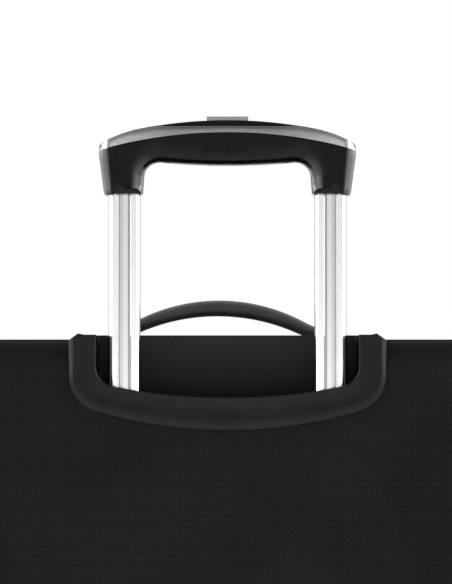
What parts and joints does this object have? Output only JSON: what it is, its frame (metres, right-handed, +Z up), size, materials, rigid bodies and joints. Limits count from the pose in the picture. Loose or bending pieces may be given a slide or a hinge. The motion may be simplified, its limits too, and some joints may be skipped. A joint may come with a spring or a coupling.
{
  "type": "softside upright suitcase",
  "caption": "Black softside upright suitcase with a telescopic trolley handle in a recessed cup, inline wheels, a zipped hinged lid with front pockets and carry handles.",
  "frame": {"origin": "on the floor, in the middle of the case's width and depth", "axes": "+Z up; the lid and its pockets face -Y, the back panel and the trolley face +Y, and the side carry handle is on +X"},
  "size_m": [0.4555, 0.2583, 0.8307],
  "materials": {
    "case_cloth": "matte",
    "lining_cloth": "matte",
    "webbing": "matte",
    "moulded_plastic": "satin",
    "nylon_plastic": "satin",
    "white_nylon": "satin",
    "zip_coil": "satin",
    "zip_metal": "satin",
    "tube_aluminium": "satin",
    "band_aluminium": "satin",
    "grip_rubber": "satin",
    "handle_rubber": "satin",
    "steel": "satin",
    "frame_steel": "satin",
    "cover_board": "matte",
    "tyre": "matte",
    "wheel_plastic": "satin"
  },
  "bodies": {
    "case": {"back_shell": "case_cloth", "gusset": "case_cloth", "front_frame_rod": "frame_steel", "lining": "lining_cloth", "tube_cover": "cover_board", "trolley_cup": "moulded_plastic", "trolley_rim": "moulded_plastic", "outer_tube_left": "tube_aluminium", "outer_tube_right": "tube_aluminium", "tube_bushes": "white_nylon", "trolley_base": "nylon_plastic", "wheel_housing_left": "moulded_plastic", "wheel_housing_right": "moulded_plastic", "axles": "steel", "foot_left": "moulded_plastic", "foot_right": "moulded_plastic", "case_screws": "steel", "body_zip": "zip_coil", "hinge_strip": "webbing", "top_handle_plates": "nylon_plastic", "side_handle_plates": "nylon_plastic"},
    "trolley": {"inner_tube_left": "tube_aluminium", "inner_tube_right": "tube_aluminium", "tube_plugs": "nylon_plastic", "pin_springs": "steel", "grip_body": "grip_rubber", "grip_band": "band_aluminium", "grip_insert": "grip_rubber", "grip_screws": "steel", "button_spring": "steel"},
    "button": {"release_button": "band_aluminium", "release_bar": "nylon_plastic", "push_rods": "steel"},
    "pin_left": {"lock_pin_left": "steel"},
    "pin_right": {"lock_pin_right": "steel"},
    "wheel_left": {"tyre_left": "tyre", "wheel_hub_left": "wheel_plastic", "bearings_left": "steel"},
    "wheel_right": {"tyre_right": "tyre", "wheel_hub_right": "wheel_plastic", "bearings_right": "steel"},
    "lid": {"lid_shell": "case_cloth", "lid_frame_rod": "frame_steel", "lid_lining": "lining_cloth", "lid_zip": "zip_coil", "lid_piping": "webbing", "large_pocket": "case_cloth", "small_pocket": "case_cloth", "pocket_zips": "zip_coil"},
    "main_slider_left": {"main_slider_left": "zip_metal"},
    "main_pull_left": {"main_pull_left": "zip_metal"},
    "main_slider_right": {"main_slider_right": "zip_metal"},
    "main_pull_right": {"main_pull_right": "zip_metal"},
    "large_pocket_slider": {"large_pocket_slider": "zip_metal"},
    "large_pocket_pull": {"large_pocket_pull": "zip_metal"},
    "small_pocket_slider": {"small_pocket_slider": "zip_metal"},
    "small_pocket_pull": {"small_pocket_pull": "zip_metal"},
    "top_handle": {"top_handle": "handle_rubber"},
    "side_handle": {"side_handle": "handle_rubber"}
  },
  "joints": [
    {"name": "trolley_slide", "type": "slide", "parent": "case", "child": "trolley", "axis": [0, 0, 1], "range_m": [-0.161, 0.239]},
    {"name": "button_press", "type": "slide", "parent": "trolley", "child": "button", "axis": [0, 0, -1], "range_m": [0, 0.0035], "stiffness_N_per_m": 1500, "springref_m": -0.0015, "deforming": ["button_spring"]},
    {"name": "pin_left_slide", "type": "slide", "parent": "trolley", "child": "pin_left", "axis": [1, 0, 0], "range_m": [0, 0.00175], "deforming": ["pin_springs"]},
    {"name": "pin_right_slide", "type": "slide", "parent": "trolley", "child": "pin_right", "axis": [-1, 0, 0], "range_m": [0, 0.00175]},
    {"name": "wheel_left_spin", "type": "hinge", "parent": "case", "child": "wheel_left", "pos_m": [-0.199, 0.097, 0.032], "axis": [1, 0, 0], "continuous": true},
    {"name": "wheel_right_spin", "type": "hinge", "parent": "case", "child": "wheel_right", "pos_m": [0.199, 0.097, 0.032], "axis": [1, 0, 0], "continuous": true},
    {"name": "lid_hinge", "type": "hinge", "parent": "case", "child": "lid", "pos_m": [-0.222, -0.061, 0.349], "axis": [0, 0, -1], "range_deg": [0, 170], "deforming": ["hinge_strip"]},
    {"name": "main_slider_left_run", "type": "slide", "parent": "case", "child": "main_slider_left", "axis": [-1, 0, 0], "range_m": [0, 0.155]},
    {"name": "main_pull_left_flip", "type": "hinge", "parent": "main_slider_left", "child": "main_pull_left", "pos_m": [-0.009, -0.061, 0.6633], "axis": [-1, 0, 0], "range_deg": [0, 160]},
    {"name": "main_slider_right_run", "type": "slide", "parent": "case", "child": "main_slider_right", "axis": [1, 0, 0], "range_m": [0, 0.155]},
    {"name": "main_pull_right_flip", "type": "hinge", "parent": "main_slider_right", "child": "main_pull_right", "pos_m": [0.009, -0.061, 0.6633], "axis": [-1, 0, 0], "range_deg": [0, 160]},
    {"name": "large_pocket_slider_run", "type": "slide", "parent": "lid", "child": "large_pocket_slider", "axis": [1, 0, 0], "range_m": [0, 0.316]},
    {"name": "large_pocket_pull_lift", "type": "hinge", "parent": "large_pocket_slider", "child": "large_pocket_pull", "pos_m": [-0.158, -0.1277, 0.384], "axis": [-1, 0, 0], "range_deg": [0, 150]},
    {"name": "small_pocket_slider_run", "type": "slide", "parent": "lid", "child": "small_pocket_slider", "axis": [1, 0, 0], "range_m": [0, 0.316]},
    {"name": "small_pocket_pull_lift", "type": "hinge", "parent": "small_pocket_slider", "child": "small_pocket_pull", "pos_m": [-0.158, -0.1207, 0.608], "axis": [-1, 0, 0], "range_deg": [0, 150]},
    {"name": "top_handle_lift", "type": "slide", "parent": "case", "child": "top_handle", "axis": [0, 0, 1], "range_m": [0, 0.01]},
    {"name": "side_handle_lift", "type": "slide", "parent": "case", "child": "side_handle", "axis": [1, 0, 0], "range_m": [0, 0.01], "stiffness_N_per_m": 100}
  ],
  "couplings": [
    {"joint": "pin_left_slide", "follows": "button_press", "ratio": 0.5},
    {"joint": "pin_right_slide", "follows": "button_press", "ratio": 0.5}
  ]
}
